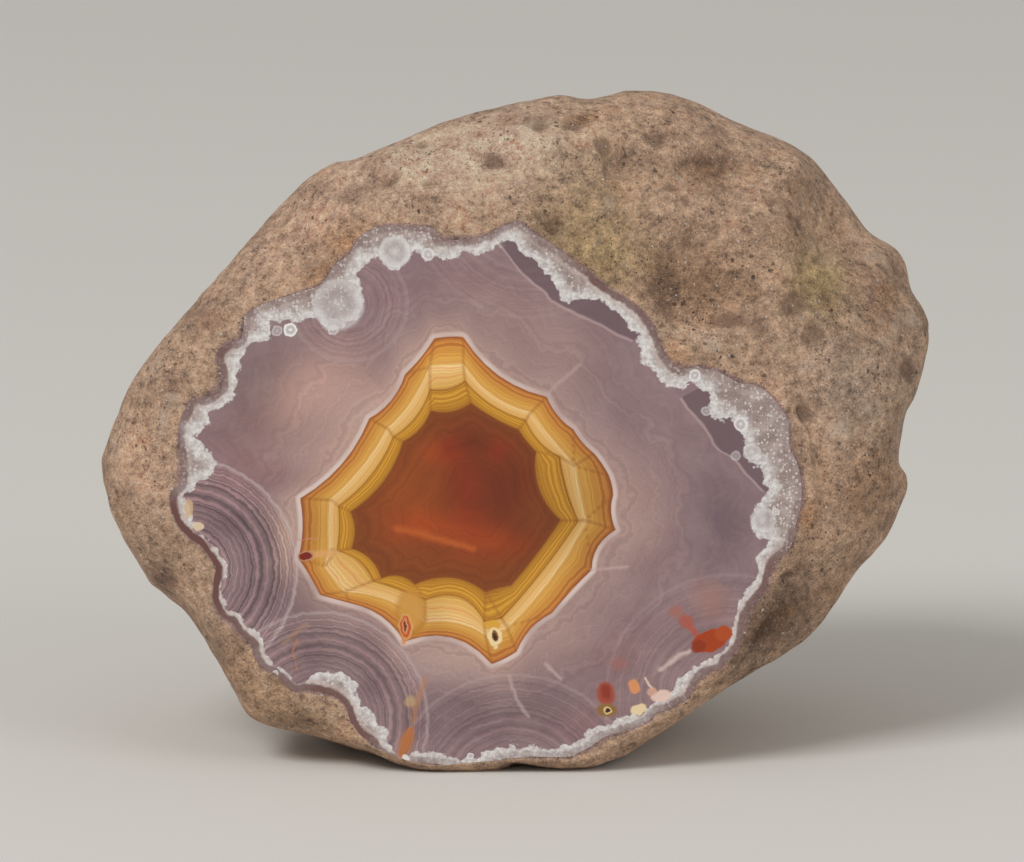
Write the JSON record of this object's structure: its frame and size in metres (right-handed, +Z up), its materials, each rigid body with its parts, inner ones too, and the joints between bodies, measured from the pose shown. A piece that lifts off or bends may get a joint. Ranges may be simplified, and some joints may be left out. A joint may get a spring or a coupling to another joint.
{
  "type": "agate nodule",
  "caption": "Rounded rough stone nodule with one flat, sawn and polished face that shows its bands, resting on a small flat spot.",
  "frame": {"origin": "middle of the nodule's bounding box, on the surface that it rests on", "axes": "+X runs to the right along the polished face's longer way, -Y is the side that the polished face looks towards, +Z is up"},
  "size_m": [0.1003, 0.0646, 0.078],
  "materials": {
    "stone": "rough tan rind, one polished face"
  },
  "bodies": {
    "root": {"agate_nodule": "stone"}
  },
  "joints": []
}
